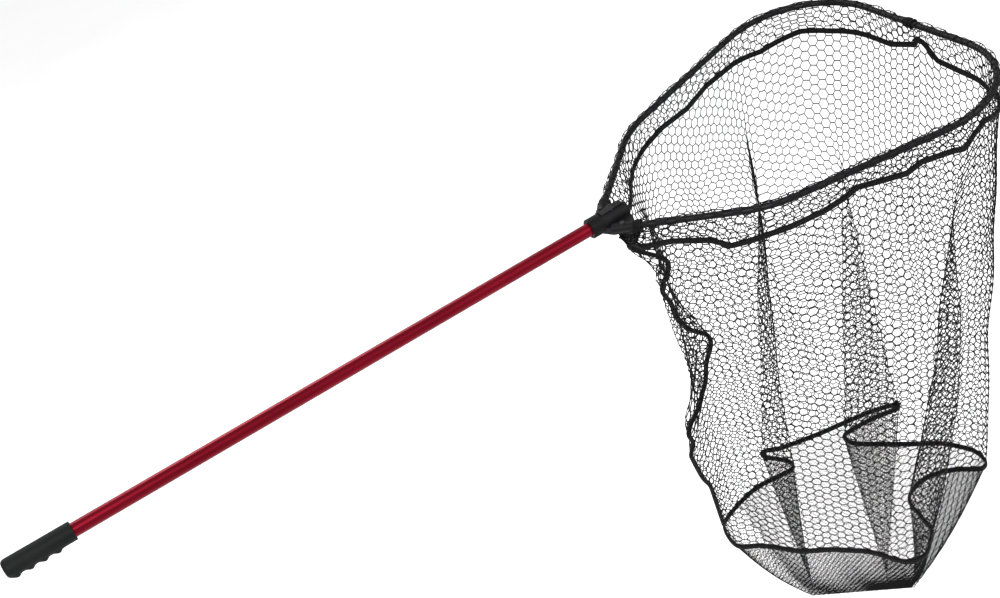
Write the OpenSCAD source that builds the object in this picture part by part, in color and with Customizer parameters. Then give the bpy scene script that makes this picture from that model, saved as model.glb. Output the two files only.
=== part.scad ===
// Landing net: a sliding tubular handle, a moulded yoke with a release lever,
// a bent tube hoop and a deep knotless bag with a fine-mesh floor.
// The handle lies along +X, from the grip to the hoop, and the bag hangs down.
// Origin: on the handle's axis, in the middle of the bare tube.

/* [Handle] */
// Length of the handle from butt to front stop
handle_len = 1231; // [900:1:1500]
// Outside diameter of the handle tube
tube_d = 25.4; // [22:0.1:30]
// Wall of the handle tube
tube_wall = 1.3; // [1:0.1:2.5]
// Length of the grip
grip_len = 122; // [110:1:160]
// Diameter of the grip
grip_d = 35; // [33:0.5:42]

/* [Yoke] */
// Length of the yoke's barrel
barrel_len = 78; // [70:1:100]
// Diameter of the yoke's barrel
barrel_d = 38; // [36:0.5:44]
// Angle of the hoop above the handle's line
hoop_tilt = 3; // [0:0.5:5]
// Distance from the handle's axis down to the hoop's plane at the yoke
hoop_drop = 6; // [4:0.5:10]

/* [Hoop] */
// Diameter of the hoop tube
hoop_d = 12.7; // [10:0.1:16]
// Wall of the hoop tube
hoop_wall = 1.5; // [1:0.1:2.5]
// Length of the hoop from the yoke to its front
hoop_len = 715; // [600:5:800]
// Distance from the yoke to the shoulder, where the arms turn into the sides
shoulder_x = 167; // [140:1:200]
// Half width at the shoulder
shoulder_y = 219; // [190:1:240]
// Half width to which the straight sides run at the front
corner_y = 370; // [330:1:400]
// Centreline radius of the shoulder bends
shoulder_r = 213; // [150:1:260]
// Centreline radius of the front corners
corner_r = 176; // [120:1:200]

/* [Bag] */
// Depth of the double mesh sleeve below the hoop's centreline
sleeve_drop = 58; // [50:1:70]
// Height of the woven binding tapes
tape_h = 9; // [7:0.5:12]
// Thickness of the netting, as a solid sheet
net_t = 2; // [1.5:0.1:4]
// Depth from the yoke to the lower tape
wall_drop = 960; // [700:10:1000]
// Depth of the fine-mesh floor below the lower tape
floor_drop = 135; // [80:5:160]

/* [Hidden] */
$fn = 64;

black = "#1d1e20";
net_black = "#141416";
tube_red = "#8a1a30";
steel = "#b8bcc0";

// Stations along the handle's axis
stop_t = 4;
cap_t = 4;
bare_len = handle_len - grip_len - barrel_len - stop_t - 1;
grip_x = -bare_len / 2;
butt_x = grip_x - grip_len;
barrel_x = bare_len / 2;
barrel_end = barrel_x + barrel_len;
tube_end = barrel_end + 1;
yoke_x = barrel_end - 4;
tube_r = tube_d / 2;
bore_r = tube_r + 0.08;
bush_r = bore_r + 1.5;
barrel_r = barrel_d / 2;
rib_pitch = 3.4;

// Release lever
pin_x = barrel_x + 50;
pin_z = barrel_r - 1.6;
nose_x = pin_x - 17;
nose_r = 2.8;
lever_w = 15;
slot_z = bush_r + 0.4;

// Hoop
arm_x = -36;
arm_y = 26;
hoop_r = hoop_d / 2;
socket_r = hoop_r + 0.1;
arm_a = atan2(shoulder_y - arm_y, shoulder_x - arm_x);
side_a = atan2(corner_y - shoulder_y, hoop_len - shoulder_x);
shoulder_t = shoulder_r * tan((arm_a - side_a) / 2);
corner_t = corner_r * tan((side_a + 90) / 2);
arm_len = norm([shoulder_x - arm_x, shoulder_y - arm_y]) - shoulder_t;
side_len = norm([hoop_len - shoulder_x, corner_y - shoulder_y]) - shoulder_t - corner_t;
front_half = corner_y - corner_t;
bolt_s = 16;
bolt_hole_r = 2.6;
socket_len = 36;

// Points and directions in the hoop's plane
function along(a, s) = [s * cos(a), s * sin(a)];
function right_of(a) = [sin(a), -cos(a)];
arm_0 = [arm_x, arm_y];
bend_1 = arm_0 + along(arm_a, arm_len);
centre_1 = bend_1 + shoulder_r * right_of(arm_a);
bend_2 = centre_1 - shoulder_r * right_of(side_a);
bend_3 = bend_2 + along(side_a, side_len);
centre_2 = bend_3 + corner_r * right_of(side_a);

// Half of the bag's mouth, from beside the yoke along one side to the front
half_outline = concat(
    [for (i = [0:4]) arm_0 + along(arm_a, socket_len + (arm_len - socket_len) * i / 5)],
    [for (i = [0:4]) centre_1 - shoulder_r * right_of(arm_a + (side_a - arm_a) * i / 4)],
    [for (i = [1:5]) bend_2 + along(side_a, side_len * i / 6)],
    [for (i = [0:11]) centre_2 - corner_r * right_of(side_a + (-90 - side_a) * i / 11)],
    [for (i = [1:2]) [hoop_len, front_half * (1 - i / 3)]]);
half_n = len(half_outline);
// The whole mouth as seen from above, near side first and closed behind the yoke's nose
mouth = concat([[-8, 0]],
    [for (p = half_outline) [p[0], -p[1]]],
    [[hoop_len, 0]],
    [for (i = [half_n - 1:-1:0]) half_outline[i]]);
ring_n = len(mouth);

// The lower tape's outline below the yoke, hand set, near side first
lower_outline = [[85, 65], [105, -15], [185, -120], [262, -215], [335, -272], [430, -250],
    [530, -215], [612, -165], [630, -35], [612, 95], [460, 165], [310, 215], [180, 165]];

function spline(p0, p1, p2, p3, u) =
    p1 + u / 2 * (p2 - p0) + u * u * (p0 - 2.5 * p1 + 2 * p2 - 0.5 * p3)
    + u * u * u * (-0.5 * p0 + 1.5 * p1 - 1.5 * p2 + 0.5 * p3);
function round_loop(pts, t) =
    let (n = len(pts), k = floor(t * n), u = t * n - k)
    spline(pts[(k + n - 1) % n], pts[k % n], pts[(k + 1) % n], pts[(k + 2) % n], u);

// Heights are measured from the yoke point, where the hoop's plane crosses the yoke's end
function tilt(p, dz) = [p[0] * cos(hoop_tilt), p[1], p[0] * sin(hoop_tilt) + dz];
function level(p, z) = [p[0], p[1], z];
function mouth_ring(dz) = [for (p = mouth) tilt(p, dz)];
lower_ring = [for (i = [0:ring_n - 1]) level(round_loop(lower_outline, i / ring_n), -wall_drop)];
function lifted(ring, dz) = [for (p = ring) p + [0, 0, dz]];
function middle(ring) = [for (k = [0:2]) [for (p = ring) p[k]] * [for (p = ring) 1] / len(ring)];
function drawn_in(ring, t) =
    let (c = middle(ring))
    [for (p = ring) let (d = [c[0] - p[0], c[1] - p[1], 0]) p + d * t / norm(d)];
function shrunk(ring, k) =
    let (c = middle(ring))
    [for (p = ring) [c[0] + (p[0] - c[0]) * k, c[1] + (p[1] - c[1]) * k, p[2]]];

module at_yoke_point() { translate([yoke_x, 0, -hoop_drop]) children(); }
module in_hoop() { at_yoke_point() rotate([0, -hoop_tilt, 0]) children(); }
module lying(x0, len, r) { translate([x0, 0, 0]) rotate([0, 90, 0]) cylinder(h = len, r = r); }
module both_sides() {
    children();
    mirror([0, 1, 0]) children();
}

// A closed wall between a top ring and a bottom ring
module band(top, bottom, t) {
    n = len(top);
    points = concat(top, drawn_in(top, t), drawn_in(bottom, t), bottom);
    // Corners of the section at station i: outer top, inner top, inner foot, outer foot
    faces = [for (i = [0:n - 1]) for (h = [0:7])
        let (j = (i + 1) % n)
        [[i, n + i, n + j], [i, n + j, j],
         [n + i, 2 * n + i, n + j], [2 * n + i, 2 * n + j, n + j],
         [2 * n + i, 3 * n + i, 3 * n + j], [2 * n + i, 3 * n + j, 2 * n + j],
         [3 * n + i, i, j], [3 * n + i, j, 3 * n + j]][h]];
    polyhedron(points, faces, convexity = 6);
}

// How far the bowl's lining stands above its outside
lining_lift = net_t * 0.7;
// An open bowl through a list of rings, closed at the last one
module bowl(rings, t) {
    n = len(rings[0]);
    m = len(rings);
    outer = [for (r = rings) for (p = r) p];
    inner = [for (r = rings) for (p = lifted(drawn_in(r, t), lining_lift)) p];
    s = n * m;
    side = [for (k = [0:m - 2]) for (i = [0:n - 1]) for (h = [0, 1])
        let (j = (i + 1) % n, a = k * n + i, b = (k + 1) * n + j)
        h == 0 ? [a, k * n + j, b] : [a, b, (k + 1) * n + i]];
    lining = [for (f = side) [f[2] + s, f[1] + s, f[0] + s]];
    rim = [for (i = [0:n - 1]) let (j = (i + 1) % n) [i, i + s, j + s, j]];
    base = [for (i = [0:n - 1]) (m - 1) * n + i];
    faces = concat(side, lining, rim, [base], [[for (i = [n - 1:-1:0]) base[i] + s]]);
    polyhedron(concat(outer, inner), faces, convexity = 6);
}

module handle_tube() {
    color(tube_red) difference() {
        lying(butt_x + cap_t, tube_end - butt_x - cap_t, tube_r);
        lying(butt_x, handle_len + 10, tube_r - tube_wall);
        // Lock hole for the nose of the release lever, with the net extended
        translate([nose_x, 0, 0]) cylinder(h = tube_r + 5, r = 3.3);
    }
}

module front_stop() {
    plug_r = tube_r - tube_wall - 0.02;
    color(black) difference() {
        union() {
            lying(tube_end - 24, 24.01, plug_r);
            lying(tube_end, stop_t - 1.2, bush_r + 0.6);
            translate([tube_end + stop_t - 1.21, 0, 0]) rotate([0, 90, 0])
                cylinder(h = 1.2, r1 = bush_r + 0.6, r2 = bush_r - 0.6);
        }
        lying(tube_end - 25, 22, plug_r - 2);
    }
}

module grip() {
    groove_r = 20;
    groove_depth = 3.2;
    pitch = 24;
    color(black) difference() {
        translate([grip_x - grip_len + cap_t, 0, 0]) rotate([0, 90, 0]) union() {
            cylinder(h = grip_len - cap_t - 2, r = grip_d / 2);
            translate([0, 0, grip_len - cap_t - 2]) cylinder(h = 2, r1 = grip_d / 2, r2 = grip_d / 2 - 2);
        }
        lying(butt_x - 1, grip_len + 2, tube_r + 0.02);
        // Finger grooves across the underside
        for (i = [0:3])
            translate([grip_x - 22 - i * pitch, 0, -grip_d / 2 - groove_r + groove_depth])
                rotate([90, 0, 0]) cylinder(h = grip_d + 10, r = groove_r, center = true);
    }
}

module butt_cap() {
    plug_r = tube_r - tube_wall - 0.02;
    color(black) difference() {
        union() {
            lying(butt_x + cap_t - 0.01, 22, plug_r);
            translate([butt_x + 2, 0, 0]) rotate([0, 90, 0]) cylinder(h = cap_t - 2, r = grip_d / 2 - 0.5);
            translate([butt_x, 0, 0]) rotate([0, 90, 0])
                cylinder(h = 2.01, r1 = grip_d / 2 - 3, r2 = grip_d / 2 - 0.5);
        }
        lying(butt_x + cap_t + 2, 22, plug_r - 2);
    }
}

// Point on an arm of the hoop, measured from its end in the socket
module on_arm(s) {
    p = arm_0 + along(arm_a, s);
    in_hoop() translate([p[0], p[1], 0]) rotate([0, 0, arm_a]) children();
}

module yoke_side() {
    // Flat wing from the barrel out to the socket, seen from above
    wing = [[-54, 8], [-44, 29], [-21, 51], [-3, 43], [4, 30], [4, 8]];
    in_hoop() translate([0, 0, -9]) linear_extrude(height = 15) polygon(wing);
    // Socket that the hoop's end plugs into
    on_arm(-5) rotate([0, 90, 0]) cylinder(h = socket_len + 6, r = 10);
    on_arm(socket_len - 5) rotate([0, 90, 0]) cylinder(h = 4, r = 10.8);
}

module yoke_body() {
    color(black) difference() {
        union() {
            lying(barrel_x + 1.5, barrel_len - 2.5, barrel_r - 0.6);
            // Fine ribs round the collar
            for (i = [0:6]) lying(barrel_x + 1 + i * rib_pitch, 1.9, barrel_r);
            lying(barrel_x, 2, barrel_r - 1);
            lying(barrel_x + 26, barrel_len - 28, barrel_r);
            lying(barrel_end - 3, 3, barrel_r - 1);
            both_sides() yoke_side();
        }
        lying(barrel_x - 1, barrel_len + 2, bush_r + 0.02);
        // Slot for the release lever, open at the front
        translate([nose_x - 8, -lever_w / 2 - 0.4, slot_z]) cube([barrel_len, lever_w + 0.8, 20]);
        translate([pin_x, 0, pin_z]) rotate([90, 0, 0]) cylinder(h = 40, r = 1.52, center = true);
        // Passage for the lever's lock nose
        translate([nose_x, 0, 0]) cylinder(h = 30, r = nose_r + 0.8);
        both_sides() {
            on_arm(-0.5) rotate([0, 90, 0]) cylinder(h = 60, r = socket_r);
            on_arm(bolt_s) {
                cylinder(h = 40, r = bolt_hole_r, center = true);
                translate([0, 0, 8]) cylinder(h = 20, r = 5.6);
                translate([0, 0, -28]) cylinder(h = 20, r = 5.2, $fn = 6);
            }
        }
    }
}

module slide_bush() {
    color("#2b2c2e") difference() {
        lying(barrel_x + 0.5, barrel_len - 1, bush_r);
        lying(barrel_x - 1, barrel_len + 2, bore_r);
        translate([nose_x, 0, 0]) cylinder(h = 30, r = nose_r + 0.8);
    }
}

module release_lever() {
    // Side view of the lever: nose end, hub, and the raised thumb pad
    profile = [[nose_x - 5, pin_z - 1.4], [pin_x, pin_z - 1.4], [pin_x + 5, pin_z - 0.6],
        [barrel_end - 2, pin_z - 0.1], [barrel_end - 1, pin_z + 1], [barrel_end - 3, pin_z + 3],
        [pin_x + 6, pin_z + 2.4], [pin_x, pin_z + 2.2], [nose_x - 5, pin_z + 1.2]];
    color(black) difference() {
        union() {
            rotate([90, 0, 0]) linear_extrude(height = lever_w, center = true) polygon(profile);
            // Lock nose, which stands just clear of the tube over its lock hole
            translate([nose_x, 0, tube_r + 0.25]) cylinder(h = pin_z - tube_r, r = nose_r);
            // Cross ribs on the thumb pad
            for (i = [0:5]) translate([pin_x + 9 + i * 2.8, 0, pin_z + 2.4])
                cube([1.3, lever_w - 1, 1.6], center = true);
        }
        translate([pin_x, 0, pin_z]) rotate([90, 0, 0]) cylinder(h = 40, r = 1.58, center = true);
    }
}

module lever_pin() {
    color(steel) translate([pin_x, 0, pin_z]) rotate([90, 0, 0])
        cylinder(h = 18, r = 1.5, center = true);
}

module lever_spring() {
    // Bent leaf under the thumb pad
    t = 0.35;
    x0 = pin_x + 6;
    x1 = barrel_end - 7;
    low = slot_z + 0.05;
    high = pin_z - 0.7;
    leaf = [[x0, low], [x0 + 4, low], [x1, high - t], [x1, high], [x0 + 4, low + t], [x0, low + t]];
    color(steel) rotate([90, 0, 0]) linear_extrude(height = 6, center = true) polygon(leaf);
}

// Half of a tube of radius r round the hoop's line, starting s0 along its arm
module hoop_half(r, s0) {
    start = arm_0 + along(arm_a, s0);
    translate([start[0], start[1], 0]) rotate([0, 0, arm_a]) rotate([0, 90, 0])
        cylinder(h = arm_len - s0, r = r);
    translate([centre_1[0], centre_1[1], 0]) rotate([0, 0, 90 + side_a])
        rotate_extrude(angle = arm_a - side_a) translate([shoulder_r, 0]) circle(r = r);
    translate([bend_2[0], bend_2[1], 0]) rotate([0, 0, side_a]) rotate([0, 90, 0])
        cylinder(h = side_len, r = r);
    // The front corner, as three short bends end to end
    bend = (90 + side_a) / 3;
    translate([centre_2[0], centre_2[1], 0]) for (i = [0:2]) rotate([0, 0, i * bend])
        rotate_extrude(angle = bend) translate([corner_r, 0]) circle(r = r);
    translate([hoop_len, 0, 0]) rotate([-90, 0, 0]) cylinder(h = front_half, r = r);
}

module hoop_frame() {
    color(black) difference() {
        in_hoop() difference() {
            both_sides() hoop_half(hoop_r, 0);
            both_sides() hoop_half(hoop_r - hoop_wall, -1);
        }
        both_sides() on_arm(bolt_s) cylinder(h = 40, r = bolt_hole_r, center = true);
    }
}

module hoop_bolts() {
    color(steel) both_sides() on_arm(bolt_s) {
        translate([0, 0, -11.5]) cylinder(h = 20.5, r = 2.5);
        translate([0, 0, 9]) cylinder(h = 2.6, r = 4.4);
    }
}

module hoop_washers() {
    color(steel) both_sides() on_arm(bolt_s) difference() {
        translate([0, 0, 8.02]) cylinder(h = 0.95, r = 5.3);
        cylinder(h = 20, r = 2.55);
    }
}

module hoop_nuts() {
    color(steel) both_sides() on_arm(bolt_s) difference() {
        translate([0, 0, -11.6]) cylinder(h = 3.5, r = 4.6, $fn = 6);
        translate([0, 0, -20]) cylinder(h = 20, r = 2.52);
    }
}

// The sleeve wraps the hoop and hangs from it, its two mesh layers drawn as one.
// It passes under the yoke between the two arms.
sleeve_r = 8.2;
function sleeve_top(p) = tilt(p, p[0] < 10 ? -22 : -sleeve_r - 1.2);
module net_sleeve() {
    color(net_black) {
        in_hoop() difference() {
            both_sides() hoop_half(sleeve_r, 42);
            both_sides() hoop_half(hoop_r + 0.35, 40);
        }
        at_yoke_point() band([for (p = mouth) sleeve_top(p)],
            mouth_ring(-sleeve_drop + tape_h / 2 + 0.4), net_t);
    }
}

module sleeve_ties() {
    color(net_black) both_sides() on_arm(39.2) rotate([0, 90, 0]) difference() {
        cylinder(h = 2.4, r = 9);
        translate([0, 0, -1]) cylinder(h = 6, r = hoop_r + 0.3);
    }
}

module upper_tape() {
    mid = -sleeve_drop;
    color(net_black) at_yoke_point()
        band(mouth_ring(mid + tape_h / 2), mouth_ring(mid - tape_h / 2), net_t + 1);
}

module net_wall() {
    top = mouth_ring(-sleeve_drop - tape_h / 2 - 0.4);
    color(net_black) at_yoke_point() band(top, lifted(lower_ring, tape_h / 2 + 0.4), net_t);
}

module wall_seam() {
    top = mouth_ring(-sleeve_drop - tape_h / 2 - 6)[0];
    foot = lower_ring[0] + [0, 0, tape_h / 2 + 6];
    color(net_black) at_yoke_point() hull() {
        translate(top + [-2.4, 0, -2]) cube([1.4, 8, 1], center = true);
        translate(foot + [-2.4, 0, 2]) cube([1.4, 8, 1], center = true);
    }
}

module lower_tape() {
    color(net_black) at_yoke_point()
        band(lifted(lower_ring, tape_h / 2), lifted(lower_ring, -tape_h / 2), net_t + 1);
}

module net_floor() {
    top = lifted(lower_ring, -tape_h / 2 - lining_lift - 0.4);
    rings = [top, shrunk(lifted(lower_ring, -floor_drop * 0.45), 0.86),
        shrunk(lifted(lower_ring, -floor_drop * 0.85), 0.6),
        shrunk(lifted(lower_ring, -floor_drop), 0.3)];
    color(net_black) at_yoke_point() bowl(rings, net_t);
}

handle_tube();
front_stop();
grip();
butt_cap();
yoke_body();
slide_bush();
release_lever();
lever_pin();
lever_spring();
hoop_frame();
hoop_bolts();
hoop_washers();
hoop_nuts();
net_sleeve();
sleeve_ties();
upper_tape();
net_wall();
wall_seam();
lower_tape();
net_floor();
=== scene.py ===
"""Looks of the landing net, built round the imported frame. Lengths in here are millimetres
from the yoke point, which world() turns into metres in the row frame. The grip's are
millimetres in the row frame itself."""

import math

import bmesh
import bpy
import numpy as np
from mathutils import Matrix, Vector

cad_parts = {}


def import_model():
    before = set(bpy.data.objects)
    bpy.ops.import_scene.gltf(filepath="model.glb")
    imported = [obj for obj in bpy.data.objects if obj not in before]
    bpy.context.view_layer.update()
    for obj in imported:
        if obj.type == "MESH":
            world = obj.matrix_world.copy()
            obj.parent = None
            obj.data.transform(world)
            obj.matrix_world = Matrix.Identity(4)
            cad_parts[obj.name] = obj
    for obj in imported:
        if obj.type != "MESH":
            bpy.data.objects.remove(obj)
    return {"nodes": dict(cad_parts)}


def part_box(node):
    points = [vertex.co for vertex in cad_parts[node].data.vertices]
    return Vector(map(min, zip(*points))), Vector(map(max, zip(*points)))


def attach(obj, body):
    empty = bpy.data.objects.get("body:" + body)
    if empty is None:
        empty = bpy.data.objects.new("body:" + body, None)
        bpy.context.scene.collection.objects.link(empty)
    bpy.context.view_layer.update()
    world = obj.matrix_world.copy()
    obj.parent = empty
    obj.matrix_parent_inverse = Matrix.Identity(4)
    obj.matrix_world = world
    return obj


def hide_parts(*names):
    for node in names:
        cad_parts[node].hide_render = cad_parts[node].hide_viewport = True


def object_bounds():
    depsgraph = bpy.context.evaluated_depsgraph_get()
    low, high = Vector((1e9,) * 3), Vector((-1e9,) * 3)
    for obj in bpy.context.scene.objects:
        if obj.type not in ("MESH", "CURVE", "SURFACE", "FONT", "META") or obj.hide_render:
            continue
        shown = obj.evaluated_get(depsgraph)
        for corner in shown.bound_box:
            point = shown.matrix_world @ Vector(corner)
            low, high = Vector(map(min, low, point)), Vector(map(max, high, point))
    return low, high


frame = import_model()
cad_low, cad_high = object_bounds()

# The yoke point lies this far along from the barrel's rear end and below the handle's axis
BARREL_TO_YOKE, YOKE_DROP = 74, 6.0
BUSH_SETBACK = 0.0005
BARREL_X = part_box("slide_bush")[0].x - BUSH_SETBACK
YOKE = np.array([BARREL_X * 1000 + BARREL_TO_YOKE, 0.0, -YOKE_DROP])


def world(points):
    return (np.asarray(points, float) + YOKE) / 1000


# ---------------------------------------------------------------- materials
def new_material(name):
    mat = bpy.data.materials.new(name)
    mat.use_nodes = True
    tree = mat.node_tree
    tree.nodes.clear()
    out = tree.nodes.new("ShaderNodeOutputMaterial")
    shader = tree.nodes.new("ShaderNodeBsdfPrincipled")
    tree.links.new(shader.outputs[0], out.inputs[0])
    return mat, tree, shader


def noise_node(tree, scale, detail=4, stretch=(1, 1, 1), coord="Object"):
    co = tree.nodes.new("ShaderNodeTexCoord")
    mapping = tree.nodes.new("ShaderNodeMapping")
    mapping.inputs["Scale"].default_value = stretch
    tree.links.new(co.outputs[coord], mapping.inputs[0])
    noise = tree.nodes.new("ShaderNodeTexNoise")
    noise.inputs["Scale"].default_value = scale
    noise.inputs["Detail"].default_value = detail
    tree.links.new(mapping.outputs[0], noise.inputs["Vector"])
    return noise


def ramp(tree, source, dark, light, low=0.3, high=0.7):
    node = tree.nodes.new("ShaderNodeValToRGB")
    node.color_ramp.elements[0].position = low
    node.color_ramp.elements[1].position = high
    node.color_ramp.elements[0].color = (*dark, 1)
    node.color_ramp.elements[1].color = (*light, 1)
    tree.links.new(source, node.inputs[0])
    return node


def bump(tree, height, strength, distance):
    node = tree.nodes.new("ShaderNodeBump")
    node.inputs["Strength"].default_value = strength
    node.inputs["Distance"].default_value = distance
    tree.links.new(height, node.inputs["Height"])
    return node


def rough_range(tree, source, shader, low, high):
    node = tree.nodes.new("ShaderNodeMapRange")
    node.inputs["To Min"].default_value = low
    node.inputs["To Max"].default_value = high
    tree.links.new(source, node.inputs[0])
    tree.links.new(node.outputs[0], shader.inputs["Roughness"])


def moulded(name, dark, light, rough, grain_scale, grain, blotch=30.0, metallic=0.0):
    """Plastic, rubber, paint or metal with a grain, colour drift and uneven gloss."""
    mat, tree, shader = new_material(name)
    drift = noise_node(tree, blotch, 5)
    colour = ramp(tree, drift.outputs[0], dark, light)
    tree.links.new(colour.outputs[0], shader.inputs["Base Color"])
    fine = noise_node(tree, grain_scale, 3)
    bumps = bump(tree, fine.outputs[0], grain, 0.0004)
    tree.links.new(bumps.outputs[0], shader.inputs["Normal"])
    rough_range(tree, drift.outputs[0], shader, rough - 0.08, rough + 0.1)
    shader.inputs["Metallic"].default_value = metallic
    shader.inputs["Specular IOR Level"].default_value = 0.1
    return mat


def anodised(name):
    """Red anodised tube: fine lines drawn along its length, small scuffs."""
    mat, tree, shader = new_material(name)
    lines = noise_node(tree, 900, 3, (0.004, 1, 1))
    drift = noise_node(tree, 9, 4, (0.3, 1, 1))
    mix = tree.nodes.new("ShaderNodeMath")
    mix.operation = "ADD"
    half = tree.nodes.new("ShaderNodeMath")
    half.operation = "MULTIPLY"
    half.inputs[1].default_value = 0.35
    tree.links.new(lines.outputs[0], half.inputs[0])
    tree.links.new(half.outputs[0], mix.inputs[0])
    tree.links.new(drift.outputs[0], mix.inputs[1])
    colour = ramp(tree, mix.outputs[0], (0.085, 0.001, 0.005), (0.16, 0.003, 0.012), 0.45, 0.95)
    tree.links.new(colour.outputs[0], shader.inputs["Base Color"])
    bumps = bump(tree, lines.outputs[0], 0.12, 0.0002)
    tree.links.new(bumps.outputs[0], shader.inputs["Normal"])
    rough_range(tree, drift.outputs[0], shader, 0.3, 0.4)
    shader.inputs["Metallic"].default_value = 0.8
    shader.inputs["Specular IOR Level"].default_value = 0.15
    return mat


def twine_look(name, dark, light, rough):
    """Coated netting twine: small lay marks and a slight sheen."""
    mat, tree, shader = new_material(name)
    lay = noise_node(tree, 700, 2)
    drift = noise_node(tree, 14, 3)
    colour = ramp(tree, drift.outputs[0], dark, light)
    tree.links.new(colour.outputs[0], shader.inputs["Base Color"])
    bumps = bump(tree, lay.outputs[0], 0.5, 0.0003)
    tree.links.new(bumps.outputs[0], shader.inputs["Normal"])
    rough_range(tree, lay.outputs[0], shader, rough - 0.1, rough + 0.1)
    shader.inputs["Specular IOR Level"].default_value = 0.1
    return mat


def woven(name, dark, light):
    """Woven binding tape: diagonal weave ribs and fine ribs along its length, on the strip's own UVs.
    """
    mat, tree, shader = new_material(name)
    uv = tree.nodes.new("ShaderNodeTexCoord")
    ribs = tree.nodes.new("ShaderNodeTexWave")
    ribs.wave_type = "BANDS"
    ribs.bands_direction = "DIAGONAL"
    ribs.inputs["Scale"].default_value = 190.0
    ribs.inputs["Distortion"].default_value = 0.6
    tree.links.new(uv.outputs["UV"], ribs.inputs["Vector"])
    cross = tree.nodes.new("ShaderNodeTexWave")
    cross.wave_type = "BANDS"
    cross.bands_direction = "Y"
    cross.inputs["Scale"].default_value = 230.0
    tree.links.new(uv.outputs["UV"], cross.inputs["Vector"])
    total = tree.nodes.new("ShaderNodeMath")
    total.operation = "ADD"
    tree.links.new(ribs.outputs["Fac"], total.inputs[0])
    tree.links.new(cross.outputs["Fac"], total.inputs[1])
    drift = noise_node(tree, 40, 4)
    colour = ramp(tree, drift.outputs[0], dark, light)
    tree.links.new(colour.outputs[0], shader.inputs["Base Color"])
    bumps = bump(tree, total.outputs[0], 0.5, 0.0004)
    tree.links.new(bumps.outputs[0], shader.inputs["Normal"])
    rough_range(tree, drift.outputs[0], shader, 0.62, 0.82)
    shader.inputs["Specular IOR Level"].default_value = 0.1
    return mat


RED = anodised("red_anodised")
PLASTIC = moulded("black_plastic", (0.0025, 0.0025, 0.003), (0.005, 0.005, 0.0055), 0.5, 1800, 0.25)
RUBBER = moulded("grip_rubber", (0.0025, 0.0027, 0.003), (0.005, 0.0052, 0.0056), 0.6, 1500, 0.45)
YOKE_PLASTIC = moulded("yoke_plastic", (0.0025, 0.0025, 0.003), (0.005, 0.005, 0.0056), 0.5, 2200, 0.3)
BUSH = moulded("bush_plastic", (0.02, 0.02, 0.021), (0.03, 0.03, 0.032), 0.5, 2500, 0.15)
STEEL = moulded("zinc_steel", (0.07, 0.07, 0.075), (0.13, 0.13, 0.135), 0.36, 900, 0.15, 60, 0.95)
BOLT = moulded("dark_zinc", (0.012, 0.012, 0.013), (0.03, 0.03, 0.032), 0.5, 900, 0.15, 60, 0.6)
PAINT = moulded("black_painted", (0.003, 0.003, 0.0035), (0.007, 0.007, 0.008), 0.42, 700, 0.2, 50)
NET = twine_look("netting", (0.0015, 0.0015, 0.0018), (0.004, 0.004, 0.0044), 0.6)
FINE = twine_look("fine_netting", (0.0018, 0.0018, 0.002), (0.005, 0.005, 0.0055), 0.62)
TAPE = woven("binding", (0.0015, 0.0015, 0.0018), (0.0045, 0.0045, 0.005))

NODE_LOOKS = {
    "handle_tube": RED, "front_stop": PLASTIC, "butt_cap": PLASTIC, "slide_bush": BUSH,
    "yoke_body": YOKE_PLASTIC, "release_lever": YOKE_PLASTIC, "lever_pin": STEEL,
    "lever_spring": STEEL, "hoop_frame": PAINT, "hoop_bolts": BOLT, "hoop_washers": BOLT,
    "hoop_nuts": BOLT, "grip": RUBBER,
}
for node_name, look in NODE_LOOKS.items():
    node_mesh = frame["nodes"][node_name].data
    node_mesh.materials.clear()
    node_mesh.materials.append(look)


# ---------------------------------------------------------------- mesh helpers
def mesh_piece(name, points, faces, material, uvs=None):
    """points in metres; faces of one size as an array."""
    mesh = bpy.data.meshes.new(name)
    points = np.asarray(points, np.float32)
    faces = np.asarray(faces, np.int32)
    count, sides = faces.shape
    mesh.vertices.add(len(points))
    mesh.vertices.foreach_set("co", points.ravel())
    mesh.loops.add(count * sides)
    mesh.loops.foreach_set("vertex_index", faces.ravel())
    mesh.polygons.add(count)
    mesh.polygons.foreach_set("loop_start", np.arange(0, count * sides, sides, dtype=np.int32))
    mesh.polygons.foreach_set("loop_total", np.full(count, sides, np.int32))
    mesh.update(calc_edges=True)
    mesh.validate()
    mesh.polygons.foreach_set("use_smooth", np.ones(count, bool))
    if uvs is not None:
        layer = mesh.uv_layers.new(name="UVMap")
        layer.data.foreach_set("uv", np.asarray(uvs, np.float32)[faces.ravel()].ravel())
    mesh.materials.append(material)
    obj = bpy.data.objects.new(name, mesh)
    bpy.context.scene.collection.objects.link(obj)
    return obj


def unit(v):
    return v / np.maximum(np.linalg.norm(v, axis=-1, keepdims=True), 1e-9)


def strands(name, a, b, radius, sides, material, reach=0.35):
    """Short tubes from points a to points b, in millimetres; radius per tube."""
    a, b = np.asarray(a, float), np.asarray(b, float)
    radius = np.broadcast_to(np.asarray(radius, float), (len(a),))
    d = unit(b - a)
    a, b = a - d * (radius * reach)[:, None], b + d * (radius * reach)[:, None]
    helper = np.where(np.abs(d[:, 2:3]) < 0.8, np.array([[0, 0, 1.0]]), np.array([[1.0, 0, 0]]))
    n1 = unit(np.cross(d, helper))
    n2 = np.cross(d, n1)
    ring = [n1 * math.cos(t) + n2 * math.sin(t) for t in np.arange(sides) * 2 * math.pi / sides]
    ring = np.stack(ring, 1) * radius[:, None, None]
    points = np.concatenate([a[:, None] + ring, b[:, None] + ring], 1)
    k = np.arange(sides)
    quad = np.stack([k, (k + 1) % sides, sides + (k + 1) % sides, sides + k], 1)
    faces = (np.arange(len(a)) * 2 * sides)[:, None, None] + quad[None]
    return mesh_piece(name, world(points.reshape(-1, 3)), faces.reshape(-1, 4), material)


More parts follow.
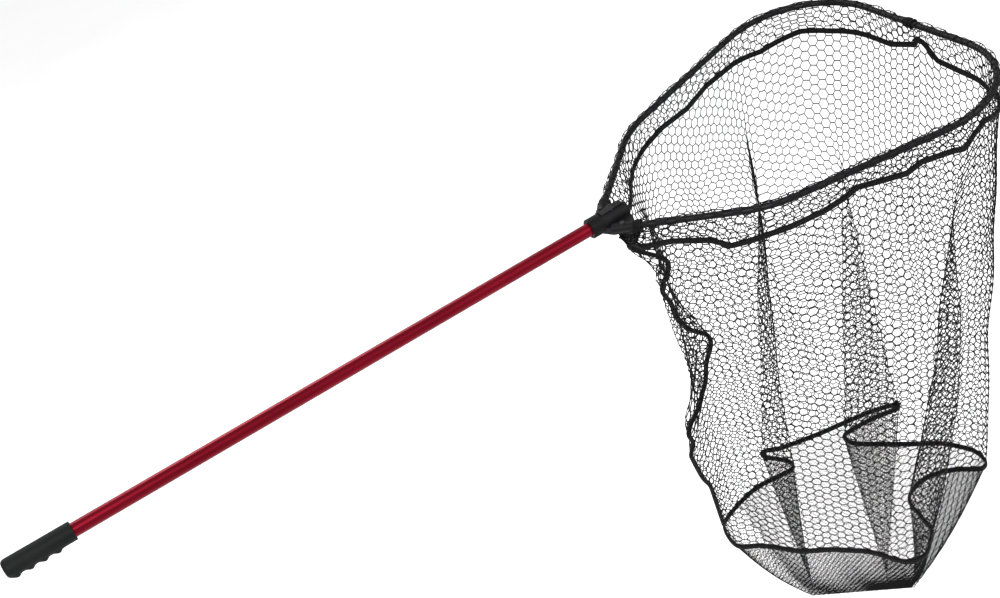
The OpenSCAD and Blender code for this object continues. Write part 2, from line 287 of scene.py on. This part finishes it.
def sweep(name, path, section, up, material, closed=False):
    """A section (across, up) in millimetres swept along a path; up is one vector per point."""
    path, up = np.asarray(path, float), np.asarray(up, float)
    ahead = np.roll(path, -1, 0) - np.roll(path, 1, 0)
    if not closed:
        ahead[0], ahead[-1] = path[1] - path[0], path[-1] - path[-2]
    t = unit(ahead)
    across = unit(np.cross(t, np.broadcast_to(up, path.shape)))
    over = np.cross(across, t)
    section = np.asarray(section, float)
    points = (path[:, None] + across[:, None] * section[None, :, :1]
              + over[:, None] * section[None, :, 1:])
    n, m = len(path), len(section)
    length = np.r_[0, np.cumsum(np.linalg.norm(np.diff(path, axis=0), axis=1))] / 1000
    around = np.r_[0, np.cumsum(np.linalg.norm(np.diff(section, axis=0), axis=1))] / 1000
    uvs = np.stack(np.meshgrid(length, around, indexing="ij"), -1).reshape(-1, 2)
    rows = np.arange(n if closed else n - 1)
    i, k = np.meshgrid(rows, np.arange(m), indexing="ij")
    j, l = (i + 1) % n, (k + 1) % m
    faces = np.stack([i * m + k, j * m + k, j * m + l, i * m + l], -1).reshape(-1, 4)
    if not closed:
        first, last = len(points.reshape(-1, 3)), len(points.reshape(-1, 3)) + 1
        points = np.vstack([points.reshape(-1, 3), path[:1], path[-1:]])
        uvs = np.vstack([uvs, [[0, 0]], [[length[-1], 0]]])
        k = np.arange(m)
        l, foot = (k + 1) % m, (n - 1) * m
        caps = np.vstack([np.stack([np.full(m, first), l, k], 1),
                          np.stack([np.full(m, last), foot + k, foot + l], 1)])
        ends = mesh_piece(name + "_caps", world(points), caps, material, uvs=uvs)
        body = mesh_piece(name, world(points), faces, material, uvs=uvs)
        return join(name, [body, ends])
    return mesh_piece(name, world(points.reshape(-1, 3)), faces, material, uvs=uvs)


def join(name, objs):
    bpy.ops.object.select_all(action="DESELECT")
    for o in objs:
        o.select_set(True)
    bpy.context.view_layer.objects.active = objs[0]
    bpy.ops.object.join()
    objs[0].name = name
    weld(objs[0])
    return objs[0]


def weld(obj):
    bm = bmesh.new()
    bm.from_mesh(obj.data)
    bmesh.ops.remove_doubles(bm, verts=bm.verts, dist=1e-6)
    loose = [v for v in bm.verts if not v.link_faces]
    bmesh.ops.delete(bm, geom=loose, context="VERTS")
    bmesh.ops.recalc_face_normals(bm, faces=bm.faces)
    bm.to_mesh(obj.data)
    bm.free()


def oval(width, height, n=12, square=0.6):
    """Rounded strip section: width across, height up."""
    a = np.arange(n) * 2 * math.pi / n
    c, s = np.cos(a), np.sin(a)
    return np.stack([np.sign(c) * np.abs(c) ** square * width / 2,
                     np.sign(s) * np.abs(s) ** square * height / 2], 1)


# ---------------------------------------------------------------- closed outlines
class Loop:
    """A closed curve in plan with points by arc length."""

    def __init__(self, points):
        self.p = np.vstack([points, points[:1]])
        step = np.linalg.norm(np.diff(self.p, axis=0), axis=1)
        self.s = np.r_[0, np.cumsum(step)]
        self.length = self.s[-1]

    def at(self, s):
        s = np.mod(s, self.length)
        return np.stack([np.interp(s, self.s, self.p[:, k]) for k in range(self.p.shape[1])], -1)

    def outward(self, s):
        d = self.at(s + 2) - self.at(s - 2)
        return unit(np.stack([d[..., 1], -d[..., 0]], -1))


def rounded(points, per=10):
    """Smooth closed curve through the given points."""
    p = np.asarray(points, float)
    out = []
    n = len(p)
    for i in range(n):
        p0, p1, p2, p3 = p[i - 1], p[i], p[(i + 1) % n], p[(i + 2) % n]
        k = np.linalg.norm(p2 - p1)
        m1 = (p2 - p0) / max(np.linalg.norm(p2 - p1) + np.linalg.norm(p1 - p0), 1e-6) * k
        m2 = (p3 - p1) / max(np.linalg.norm(p3 - p2) + np.linalg.norm(p2 - p1), 1e-6) * k
        for u in np.arange(per) / per:
            out.append((2 * u ** 3 - 3 * u ** 2 + 1) * p1 + (u ** 3 - 2 * u ** 2 + u) * m1
                       + (-2 * u ** 3 + 3 * u ** 2) * p2 + (u ** 3 - u ** 2) * m2)
    return np.array(out)


# The hoop, as in the CAD: arm, shoulder bend, side, corner bend, front
HOOP_TILT = math.radians(3)
ARM_0 = np.array([-36.0, 26.0])
SHOULDER, CORNER = np.array([167.0, 219.0]), np.array([715.0, 370.0])
SHOULDER_R, CORNER_R = 213.0, 176.0
# The mouth's outline starts this far along the arm
ARM_HIDDEN = 36
arm_a = math.atan2(*(SHOULDER - ARM_0)[::-1])
side_a = math.atan2(*(CORNER - SHOULDER)[::-1])
shoulder_t = SHOULDER_R * math.tan((arm_a - side_a) / 2)
corner_t = CORNER_R * math.tan((side_a + math.pi / 2) / 2)
arm_len = np.linalg.norm(SHOULDER - ARM_0) - shoulder_t
side_len = np.linalg.norm(CORNER - SHOULDER) - shoulder_t - corner_t


def along(a, s):
    return np.array([s * math.cos(a), s * math.sin(a)])


def right_of(a):
    return np.array([math.sin(a), -math.cos(a)])


bend_1 = ARM_0 + along(arm_a, arm_len)
centre_1 = bend_1 + SHOULDER_R * right_of(arm_a)
bend_2 = centre_1 - SHOULDER_R * right_of(side_a)
bend_3 = bend_2 + along(side_a, side_len)
centre_2 = bend_3 + CORNER_R * right_of(side_a)
half = [ARM_0 + along(arm_a, ARM_HIDDEN + (arm_len - ARM_HIDDEN) * i / 12) for i in range(12)]
half += [centre_1 - SHOULDER_R * right_of(arm_a + (side_a - arm_a) * i / 12) for i in range(12)]
half += [bend_2 + along(side_a, side_len * i / 14) for i in range(14)]
half += [centre_2 - CORNER_R * right_of(side_a - (math.pi / 2 + side_a) * i / 36) for i in range(37)]
half += [np.array([CORNER[0], (CORNER[1] - corner_t) * (1 - i / 5)]) for i in range(1, 5)]
half = np.array(half)
HOOP = Loop(np.vstack([[[-8.0, 0.0]], half * [1, -1], [[CORNER[0], 0.0]], half[::-1]]))
TAPE_DROP = 58.0

# How far the upper tape rides above its mean line, by distance round the mouth
TAPE_LIFT = [(0, 0), (110, 12), (180, 6), (215, -12), (240, -8), (290, 0), (390, 4), (430, 12),
             (455, 22), (500, 14), (550, 6), (580, 16), (640, 10), (665, 2), (690, 18), (720, 26),
             (780, 4), (850, -4), (880, -16), (900, -20), (930, -14), (990, -10), (1040, -6),
             (1075, 24), (1092, 26), (1100, 12), (1170, -8), (1250, -8), (1330, -8), (1390, 0),
             (1480, -14), (1560, 0), (1650, 6), (1720, -4), (1800, 4), (1900, -6), (2050, 0),
             (2185, 0)]
# How far it cuts inside the hoop's outline, next to the yoke
TAPE_INSET = [(0, 0), (40, 6), (90, 4), (180, 0), (1880, 0), (1930, 4), (1985, 10), (2040, 22),
              (2100, 26), (2150, 12), (2185, 0)]
# The lower tape's outline, seam first and then the near side; it has five sharp folds. Its points
# were worked out by a scratch program that laid picked places of the photograph on LOWER_Z's level
LOWER = [(91, 102), (73, 56), (75, 24), (111, -9), (162, -81), (207, -120), (237, -154), (264, -190),
         (291, -256), (312, -274), (342, -275), (374, -253), (396, -234), (409, -184), (419, -143),
         (436, -124), (478, -111), (513, -117), (555, -139), (596, -178), (615, -172), (626, -132),
         (617, -98), (595, -55), (541, 0), (477, 68), (458, 98), (463, 122), (510, 124), (563, 117),
         (614, 104), (622, 114), (579, 135), (553, 143), (501, 155), (437, 169), (386, 185),
         (337, 203), (308, 222), (294, 220), (296, 204), (315, 172), (324, 145), (315, 129),
         (280, 131), (222, 139), (177, 134), (126, 120)]
LOWER_Z = -960.0
BOTTOM = Loop(rounded(LOWER, 12))


def table(rows, s):
    rows = np.asarray(rows, float)
    return np.interp(s, rows[:, 0], rows[:, 1])


# Where each packing fold starts on the way down, by distance round the bottom
FOLD_START = [(0, 0.04), (900, 0.04), (1080, 0.1), (1180, 0.24), (1480, 0.24), (1640, 0.2),
              (1880, 0.18), (1990, 0.04), (2080, 0.04)]
# How far the near fold's outer edge swells to the right on its way down
SWELL = [(430, 0), (520, 26), (575, 40), (640, 22), (700, 0)]
# Pressed lines that run down from the hoop: distance round the mouth, sharpness, depth of foot
CREASES = [(1316, 0.72, 0.5), (1525, 0.2, 0.3), (1092, 0.5, 0.3), (470, 0.4, 0.3)]
# The bottom outline with the two far folds let out
OPEN_OUT = [(1190, 484, 68), (1222, 470, 92), (1245, 464, 108), (1405, 452, 122), (1480, 424, 132),
            (1600, 372, 149), (1700, 338, 160), (1750, 324, 164), (1860, 292, 148), (1890, 280, 134)]


def smooth01(x):
    x = np.clip(x, 0, 1)
    return x * x * (3 - 2 * x)


def tape_line(s):
    """The upper tape's line, in three dimensions, at distance s round the mouth."""
    s = np.mod(s, HOOP.length)
    p = HOOP.at(s) - HOOP.outward(s) * table(TAPE_INSET, s)[..., None]
    z = p[..., 0] * math.sin(HOOP_TILT) - TAPE_DROP + table(TAPE_LIFT, s)
    return np.stack([p[..., 0] * math.cos(HOOP_TILT), p[..., 1], z], -1)


# The packing folds pinch the wall: where the crease at c round the bottom runs to at the top
FOLDS = [(0, 0), (442, 470), (565, 640), (684, 668), (890, 850), (1100, 1115), (1240, 1308),
         (1400, 1326), (1745, 1508), (1855, 1540), (1960, 1780), (2080, 2185.4)]
FOLDS = np.array(FOLDS, float)
FOLDS[:, 0] *= BOTTOM.length / FOLDS[-1, 0]
FOLDS[:, 1] *= HOOP.length / FOLDS[-1, 1]
# The seam's line down the yoke side. These points came from the same scratch program as LOWER's,
# laid on the plane through the handle
SEAM = [(-2, 0, -62), (0, 0, -84), (32, 0, -113), (57, 0, -135), (68, 0, -158), (56, 0, -177),
        (37, 0, -194), (37, 0, -211), (50, 0, -239), (50, 0, -270), (59, 0, -297), (78, 0, -329),
        (107, 0, -353), (116, 0, -379), (106, 0, -399), (92, 0, -418), (80, 0, -466), (66, 0, -484),
        (55, 0, -509), (27, 0, -537), (11, 0, -564), (22, 0, -600), (7, 0, -629), (17, 0, -688),
        (26, 0, -736), (41, 0, -777)]

SWING_WAY = np.array([0.337, 0.930, -0.15])
SWING_FROM, SWING_OVER, SWING = 500, 450, 100


def seam_path():
    """The seam's line; its foot swings across to meet the lower tape."""
    p = np.array(SEAM, float)
    foot = np.array([*LOWER[0], LOWER_Z])
    swing = smooth01((-p[:, 2] - SWING_FROM) / SWING_OVER) * SWING
    # The foot swings away from the viewer and a little down, toward the lower tape
    p = p + unit(SWING_WAY) * swing[:, None]
    p = np.vstack([p, foot])
    t = np.r_[0, np.cumsum(np.linalg.norm(np.diff(p, axis=0), axis=1))]
    fine = np.linspace(0, t[-1], 220)
    line = np.stack([np.interp(fine, t, p[:, k]) for k in range(3)], 1)
    for _ in range(6):
        line[1:-1] = (line[:-2] + line[1:-1] * 2 + line[2:]) / 4
    return line


SEAM_LINE = seam_path()


def eased(v, start):
    """0 at the top, 1 at the foot, bending softly into a straight line after start."""
    soft = 0.05
    q, q0, q1 = v - start, -start, 1 - start
    rise, rise_0, rise_1 = (x + np.sqrt(x * x + soft * soft) for x in (q, q0, q1))
    return (rise - rise_0) / (rise_1 - rise_0)


def wall(f, v, warp=True):
    """Point of the bag's wall: f is the way round, 0 to 1, v the way down, 0 to 1."""
    f, v = np.broadcast_arrays(np.asarray(f, float), np.asarray(v, float))
    f = np.mod(f, 1)
    top_c = np.interp(f * HOOP.length, FOLDS[:, 1], FOLDS[:, 0])
    for at, strength, foot in CREASES:
        off = f * HOOP.length - at
        f = f - off / HOOP.length * strength * np.exp(-((off / 16) ** 2)) * (1 - smooth01(v / foot))
    grown = eased(v, table(FOLD_START, f * BOTTOM.length) * 0.7)
    c = top_c * (1 - grown) + f * BOTTOM.length * grown
    s = np.interp(c, FOLDS[:, 0], FOLDS[:, 1])
    top, low = tape_line(s), BOTTOM.at(c)
    open_low = low.copy()
    let_out = np.array(OPEN_OUT, float)
    far = (c > let_out[0, 0]) & (c < let_out[-1, 0])
    for k in range(2):
        open_low[..., k] = np.where(far, np.interp(c, let_out[:, 0], let_out[:, k + 1]), low[..., k])
    share = np.clip(eased(v, table(FOLD_START, c)) / np.maximum(v, 1e-6), 0, 1)[..., None]
    low = open_low * (1 - share) + low * share
    low = np.concatenate([low, np.full(low.shape[:-1] + (1,), LOWER_Z)], -1)
    p = top * (1 - v)[..., None] + low * v[..., None]
    side = HOOP.outward(s)
    body = v * (1 - v) * 4
    ripple = (np.sin(c / 31 + v * 5) * 3.5 + np.sin(c / 57 - v * 9 + 1.3) * 5
              + np.sin(v * 23 + c / 90) * 2.2) * body
    p[..., :2] += side * ripple[..., None]
    swell = table(SWELL, c) * np.sin(np.clip(v, 0, 1) ** 1.5 * math.pi)
    p[..., 0] += 0.86 * swell
    p[..., 1] -= 0.5 * swell
    if warp:
        near = np.minimum(c, BOTTOM.length - c)
        pull = (1 - smooth01(near / 75)) * smooth01(v / 0.1)
        base = wall(np.zeros_like(f), v, False)
        seam = np.stack([np.interp(-base[..., 2], -SEAM_LINE[:, 2], SEAM_LINE[:, k])
                         for k in range(3)], -1)
        p = p + (seam - base) * pull[..., None]
    return p


# ---------------------------------------------------------------- netting
def lattice(columns, rows):
    """Hexagons with flat tops on a sheet that closes round: edges in (column, row) units."""
    i, j = np.meshgrid(np.arange(columns), np.arange(-1, rows + 1), indexing="ij")
    x, y = i.astype(float), j + 0.5 * (i % 2)
    third = 1 / 3
    top = np.stack([x - third, y - 0.5, x + third, y - 0.5], -1).reshape(-1, 4)
    up = np.stack([x + third, y - 0.5, x + 2 * third, y], -1).reshape(-1, 4)
    down = np.stack([x + 2 * third, y, x + third, y + 0.5], -1).reshape(-1, 4)
    edges = np.vstack([top, up, down])
    kind = np.repeat([1, 0, 0], len(top))
    inside = (edges[:, [1, 3]] >= 0).all(1) & (edges[:, [1, 3]] <= rows).all(1)
    cut = ~inside & (edges[:, [1, 3]].max(1) > 0) & (edges[:, [1, 3]].min(1) < rows)
    edges, kind = edges[inside | cut], kind[inside | cut]
    edges[:, [1, 3]] = np.clip(edges[:, [1, 3]], 0, rows)
    return edges, kind


def wobble(edges, amount):
    """The same small slip for both uses of a node."""
    out = edges.copy()
    for k in (0, 2):
        x, y = edges[:, k], edges[:, k + 1]
        out[:, k] += np.sin(x * 12.9 + y * 78.2) * amount
        out[:, k + 1] += np.sin(x * 39.3 + y * 11.1) * amount * (y > 0.01)
    return out


def plan(columns, rows, slip):
    """A sheet's edges, a little uneven, and the kind of each."""
    edges, kind = lattice(columns, rows)
    edges = wobble(edges, slip)
    edges[:, [1, 3]] = np.clip(edges[:, [1, 3]], 0, rows)
    return edges, kind


def girth(kind, twine_radii):
    """Radius of each strand: kind 1 is a mesh's flat top, which is thicker than its sides."""
    return np.where(kind == 1, *twine_radii)


# Strand radii: the meshes' flat tops, their slanted sides
WALL_TWINE, SLEEVE_TWINE, FLOOR_TWINE = (1.4, 1.12), (1.3, 1.05), (0.8, 0.68)
COLUMNS, WALL_ROWS, SLEEVE_ROWS = 128, 46, 8
edges, kind = plan(COLUMNS, WALL_ROWS, 0.03)
a = wall(edges[:, 0] / COLUMNS, edges[:, 1] / WALL_ROWS)
b = wall(edges[:, 2] / COLUMNS, edges[:, 3] / WALL_ROWS)
radius = girth(kind, WALL_TWINE)
strands("net_wall_mesh", a, b, radius, 4, NET)


# The sleeve: one strip of the same mesh, up inside the hoop, over it and down outside
def hoop_top(s):
    """Where the sleeve's fold runs: round the hoop, and below the yoke between the arms."""
    s = np.mod(s, HOOP.length)
    p = HOOP.at(s)
    gap = np.minimum(s, HOOP.length - s)
    under = 1 - smooth01((gap - 30) / 28)
    z = p[..., 0] * math.sin(HOOP_TILT) - 27 * under
    return np.stack([p[..., 0] * math.cos(HOOP_TILT), p[..., 1], z], -1)


def sleeve(f, w):
    """w runs 0 to 1 from the tape up the inside, over the hoop and down the outside."""
    f, w = np.broadcast_arrays(np.asarray(f, float), np.asarray(w, float))
    s = np.mod(f, 1) * HOOP.length
    tape, top = tape_line(s), hoop_top(s)
    out = HOOP.outward(s)
    out = np.concatenate([out, np.zeros(out.shape[:-1] + (1,))], -1)
    r = 8.6 + 1.2 * np.sin(s / 23) + 0.9 * np.sin(s / 7.3)
    hang = np.clip((np.abs(w - 0.5) - 0.1) / 0.4, 0, 1)
    turn = np.clip((w - 0.4) / 0.2, 0, 1) * math.pi
    over = top - out * (np.cos(turn) * r)[..., None]
    over[..., 2] += np.sin(turn) * r
    sign = np.where(w > 0.5, 1.0, -1.0)
    p = over * (1 - hang)[..., None] + (tape + out * (sign * 2)[..., None]) * hang[..., None]
    belly = np.sin(hang * math.pi) * (5 + 4 * np.sin(s / 41 + w * 3))
    return p + out * (sign * belly)[..., None]


edges, kind = plan(COLUMNS, SLEEVE_ROWS, 0.06)
# Extra points on each strand let it bend over the hoop
a, b = [], []
for i in range(2):
    for store, t in ((a, i / 2), (b, (i + 1) / 2)):
        q = edges[:, :2] * (1 - t) + edges[:, 2:] * t
        store.append(sleeve(q[:, 0] / COLUMNS, q[:, 1] / SLEEVE_ROWS))
radius = girth(kind, SLEEVE_TWINE)
strands("net_sleeve_mesh", np.vstack(a), np.vstack(b), np.tile(radius, 2), 4, NET)

# The floor: fine mesh gathered from the lower tape to a short line at the bottom
FOOT_LEFT, FOOT_RIGHT = np.array([160.0, -90, -1096]), np.array([332.0, -228, -1096])
# How far toward the right foot each place of the lower tape is gathered
FOOT_AT = [(0, 0), (81, 0), (150, 0.06), (440, 0.9), (500, 0.95), (700, 1), (1000, 1), (1090, 0.95),
           (1250, 0.78), (1403, 0.72), (1600, 0.4), (1750, 0.05), (1850, 0.02), (2080, 0)]
# Pitch of the fine mesh, and the shortest strand kept where it is cut away
FINE_PITCH, SHORTEST = 5.2, 0.3


def floor_point(f, v):
    f, v = np.broadcast_arrays(np.asarray(f, float), np.asarray(v, float))
    c = np.mod(f, 1) * BOTTOM.length
    low = BOTTOM.at(c)
    low = np.concatenate([low, np.full(low.shape[:-1] + (1,), LOWER_Z)], -1)
    k = table(FOOT_AT, c)
    foot = FOOT_LEFT * (1 - k)[..., None] + FOOT_RIGHT * k[..., None]
    p = low * (1 - v)[..., None] + foot * v[..., None]
    belly = np.sin(v * math.pi)
    p[..., 2] -= belly * 14
    out = BOTTOM.outward(c)
    p[..., :2] += out * (belly * (2 + 3 * np.sin(c / 26)))[..., None]
    return p


def floor_half(name, first, last, anchor, rows):
    """One half of the floor: mesh of one pitch, cut away where the rows get shorter."""
    levels = np.linspace(0, 1, 31)
    ways = np.linspace(first, last, 500)
    ring = floor_point(ways[None] / BOTTOM.length, levels[:, None])
    step = np.linalg.norm(np.diff(ring, axis=1), axis=2)
    arc = np.concatenate([np.zeros((len(levels), 1)), np.cumsum(step, 1)], 1)
    arc -= arc[:, [int(anchor * 499)]]
    columns = int((arc[0, -1] - arc[0, 0]) / FINE_PITCH) + 2
    edges, kind = plan(columns, rows, 0.08)
    ends, inside = [], np.ones(len(edges), bool)
    for k in (0, 2):
        across, v = arc[0, 0] + edges[:, k] * FINE_PITCH, edges[:, k + 1] / rows
        left, right = (np.interp(v, levels, arc[:, side]) for side in (0, -1))
        inside &= (across > left - FINE_PITCH * 0.6) & (across < right + FINE_PITCH * 0.6)
        across = np.clip(across, left, right)
        row = np.clip((v * 30).astype(int), 0, 29)
        way = np.empty_like(v)
        for level in range(30):
            here = row == level
            part = (v[here] * 30 - level)[:, None]
            line = arc[level] * (1 - part) + arc[level + 1] * part
            way[here] = [np.interp(q, one, ways) for q, one in zip(across[here], line)]
        ends.append(floor_point(way / BOTTOM.length, v))
    radius = girth(kind[inside], FLOOR_TWINE)
    a, b = ends[0][inside], ends[1][inside]
    kept = np.linalg.norm(b - a, axis=1) > SHORTEST
    strands(name, a[kept], b[kept], radius[kept], 3, FINE)


floor_half("net_floor_near", -70, 800, 0.1, 30)
floor_half("net_floor_far", 800, BOTTOM.length - 70, 0.5, 54)

# ---------------------------------------------------------------- binding tapes
UP = np.array([0, 0, 1.0])
s = np.arange(0, HOOP.length, 4.0)
upper = tape_line(s)
sweep("upper_tape_binding", upper, oval(6, 11.5), UP, TAPE, closed=True)
c = np.arange(0, BOTTOM.length, 3.0)
lower = np.concatenate([BOTTOM.at(c), np.full((len(c), 1), LOWER_Z)], -1)
lower[:, 2] += np.sin(c / 60) * 1.5
sweep("lower_tape_binding", lower, oval(6.4, 13), UP, TAPE, closed=True)
sweep("seam_binding", SEAM_LINE[::2], oval(5, 10), np.array([0.94, -0.34, 0.0]), TAPE)


def wound(name, at, axis, r, length, turns, cord_r, seed):
    """A lashing: cord wound round an axis, uneven as if tied by hand."""
    draw = np.random.default_rng(seed)
    axis = unit(np.asarray(axis, float))
    side = unit(np.cross(axis, [0, 0, 1.0]))
    top = np.cross(side, axis)
    t = np.linspace(0, 1, turns * 22)
    angle = t * turns * 2 * math.pi
    sway = np.interp(t, np.linspace(0, 1, turns * 3), draw.uniform(-1, 1, turns * 3))
    radius = r + sway * cord_r * 0.6
    slip = np.interp(t, np.linspace(0, 1, turns * 2), draw.uniform(-1, 1, turns * 2))
    place = (t - 0.5) * length + slip * cord_r
    path = (np.asarray(at, float) + axis * place[:, None] + side * (np.cos(angle) * radius)[:, None]
            + top * (np.sin(angle) * radius)[:, None])
    return sweep(name, path, oval(cord_r * 2, cord_r * 2, 8, 1.0), axis, NET)


def tilted(p):
    return np.array([p[0] * math.cos(HOOP_TILT), p[1], p[0] * math.sin(HOOP_TILT)])


# Distances along the hoop's arm
LASHING_AT, BUNCH_AT = 43, 46
for sign, label in ((-1, "near"), (1, "far")):
    arm = ARM_0 + along(arm_a, LASHING_AT)
    d = along(arm_a, 1.0)
    wound(f"sleeve_lashing_{label}", tilted(arm * [1, sign]), [d[0], d[1] * sign, 0], 9.2, 15, 6,
          1.7, 11 + sign)
wound("sleeve_knot_front", hoop_top(np.array([1106.0]))[0], [0, 1, 0], 9.0, 20, 7, 1.3, 5)
wound("seam_knot", (-4, -4, -66), [0.25, 0.3, -1], 6.0, 22, 7, 1.9, 3)


def gather(name, starts, ends, r, seed):
    """Loose strands of bunched mesh between two places."""
    draw = np.random.default_rng(seed)
    a, b = [], []
    for start, end in zip(starts, ends):
        t = np.linspace(0, 1, 9)[:, None]
        line = np.asarray(start) * (1 - t) + np.asarray(end) * t
        line[1:-1] += draw.normal(0, 2.6, (7, 3))
        a.append(line[:-1])
        b.append(line[1:])
    return strands(name, np.vstack(a), np.vstack(b), r, 5, NET)


for sign, label in ((-1, "near"), (1, "far")):
    draw = np.random.default_rng(20 + sign)
    count = 34
    arm = tilted((ARM_0 + along(arm_a, BUNCH_AT)) * [1, sign])
    starts = arm + draw.normal(0, 1, (count, 3)) * [7, 5, 6]
    ends = np.array([-4.0, -6 + 5 * sign, -54]) + draw.normal(0, 1, (count, 3)) * [4, 5, 6]
    gather(f"gathered_mesh_{label}", starts, ends, 1.3, 30 + sign)

# ---------------------------------------------------------------- grip
GRIP_R, BORE_R, BUTT_R = 17.0, 12.9, 6
DOME, DOME_DROP = 9, 7
RIDGE_0, RIDGE_PITCH, RIDGE_HEIGHT = 34.5, 24.0, 4.3


def grip_piece():
    """Moulded grip: rounded butt, plain top, four finger ridges across the underside."""
    x0, x1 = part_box("butt_cap")[0].x * 1000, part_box("grip")[1].x * 1000
    length = x1 - x0
    stations = np.r_[np.linspace(0, DOME, 14), np.linspace(10, length - 8, 120),
                     np.linspace(length - 7, length, 12)]
    around = np.arange(72) * 2 * math.pi / 72
    x, a = np.meshgrid(stations, around, indexing="ij")
    dome = np.sqrt(np.clip(1 - ((DOME - x) / DOME) ** 2, 0, 1)) * DOME_DROP + GRIP_R - DOME_DROP
    dome = np.where(x < DOME, dome, GRIP_R)
    front = length - x
    radius = dome - np.clip(1.2 - front, 0, 1.2) ** 2 * 0.4
    # Finger ridges: steep on the side toward the yoke
    below = np.clip(-np.sin(a - 0.12), 0, 1)
    for k in range(4):
        off = front - RIDGE_0 - RIDGE_PITCH * k
        steep = np.where(off < 0, 5.2, 7.4)
        radius += RIDGE_HEIGHT * np.exp(-np.abs(off / steep) ** 2.2) * smooth01((below - 0.25) / 0.55)
    # Parting line of the mould along both sides
    radius -= 0.25 * np.exp(-((np.abs(np.cos(a)) - 1) ** 2) / 0.0002) * (x > 12) * (front > 8)
    y, z = np.cos(a) * radius, np.sin(a) * radius
    n, m = x.shape
    points = np.stack([x + x0, y, z], -1).reshape(-1, 3)
    i, k = np.meshgrid(np.arange(n - 1), np.arange(m), indexing="ij")
    l = (k + 1) % m
    faces = np.stack([i * m + k, i * m + l, (i + 1) * m + l, (i + 1) * m + k], -1).reshape(-1, 4)
    # The flat butt, the front face and the start of the bore round the tube
    ends = [np.stack([np.full(m, at), np.cos(around) * r, np.sin(around) * r], -1)
            for at, r in ((x0, BUTT_R), (x1, BORE_R), (x1 - 4, BORE_R))]
    points = np.vstack([points, *ends])
    k = np.arange(m)
    l = (k + 1) % m
    e0, e1, e2 = n * m, n * m + m, n * m + 2 * m
    last = (n - 1) * m
    rings = [np.stack([k, e0 + k, e0 + l, l], 1), np.stack([last + k, last + l, e1 + l, e1 + k], 1),
             np.stack([e1 + k, e1 + l, e2 + l, e2 + k], 1)]
    cap = len(points)
    points = np.vstack([points, [[x0 + 0.4, 0, 0]]])
    obj = mesh_piece("grip_moulding", points / 1000, np.vstack([faces, *rings]), RUBBER)
    bm = bmesh.new()
    bm.from_mesh(obj.data)
    bm.verts.ensure_lookup_table()
    for q in range(m):
        bm.faces.new([bm.verts[cap], bm.verts[e0 + (q + 1) % m], bm.verts[e0 + q]]).smooth = True
    bmesh.ops.recalc_face_normals(bm, faces=bm.faces)
    bm.to_mesh(obj.data)
    bm.free()
    return obj


grip = grip_piece()
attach(grip, "handle")
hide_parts("grip", "butt_cap")

# ---------------------------------------------------------------- what rides on what
REPLACED = {
    "net_wall_mesh": ["net_wall"], "net_sleeve_mesh": ["net_sleeve"],
    "net_floor_near": ["net_floor"], "net_floor_far": ["net_floor"],
    "upper_tape_binding": ["upper_tape"], "lower_tape_binding": ["lower_tape"],
    "seam_binding": ["wall_seam"], "sleeve_lashing_near": ["sleeve_ties"],
    "sleeve_lashing_far": ["sleeve_ties"], "sleeve_knot_front": [], "seam_knot": [],
    "gathered_mesh_near": [], "gathered_mesh_far": [],
}
for piece_name, stands_for in REPLACED.items():
    piece = bpy.data.objects[piece_name]
    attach(piece, "yoke")
    if stands_for:
        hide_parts(*stands_for)

# ---------------------------------------------------------------- floor, light, camera
FLOOR_Z = cad_low.z - 0.75
bpy.ops.mesh.primitive_plane_add(size=60, location=(0, 0, FLOOR_Z))
ground = bpy.context.object
ground.name = "studio_floor"
ground_mat, ground_tree, ground_shader = new_material("studio_floor")
ground_noise = noise_node(ground_tree, 3, 3)
ground_ramp = ramp(ground_tree, ground_noise.outputs[0], (0.94, 0.94, 0.94), (0.96, 0.96, 0.96))
ground_tree.links.new(ground_ramp.outputs[0], ground_shader.inputs["Base Color"])
ground_shader.inputs["Roughness"].default_value = 0.9
ground.data.materials.append(ground_mat)

studio = bpy.data.worlds.new("studio")
studio.use_nodes = True
studio.node_tree.nodes["Background"].inputs[0].default_value = (1, 1, 1, 1)
studio.node_tree.nodes["Background"].inputs[1].default_value = 0.9
bpy.context.scene.world = studio


def soft_light(name, at, target, size, power):
    data = bpy.data.lights.new(name, "AREA")
    data.shape = "DISK"
    data.size = size
    data.energy = power
    obj = bpy.data.objects.new(name, data)
    obj.location = at
    obj.rotation_euler = (Vector(target) - Vector(at)).to_track_quat("-Z", "Y").to_euler()
    bpy.context.scene.collection.objects.link(obj)


soft_light("key", (-2.2, -3.2, 3.6), (0.3, 0, -0.3), 2.0, 340)
soft_light("fill", (3.4, -2.6, 2.4), (0.6, 0, -0.4), 3.0, 120)
soft_light("rim", (0.4, 3.6, 2.6), (0.4, 0, -0.2), 2.4, 120)

camera_data = bpy.data.cameras.new("camera")
camera_data.sensor_width = 36
camera_data.lens = 54.04
camera_data.clip_end = 100
camera = bpy.data.objects.new("camera", camera_data)
# Seen from 20 degrees round the near side, looking down 34, with the picture rolled. These numbers
# came from a scratch program that fitted the camera to the hoop, tube and bag
RIGHT = Vector((0.82771611, -0.49390268, -0.26635725))
CAMERA_UP = Vector((0.48550483, 0.3923131, 0.78126531))
BACK = RIGHT.cross(CAMERA_UP)
CAMERA_AT = (-1030.45, -2072.42, 1480.72)
turn = Matrix((RIGHT, CAMERA_UP, BACK)).transposed()
camera.matrix_world = Matrix.Translation(Vector(world(CAMERA_AT))) @ turn.to_4x4()
bpy.context.scene.collection.objects.link(camera)
bpy.context.scene.camera = camera
bpy.context.scene.view_settings.view_transform = "Standard"
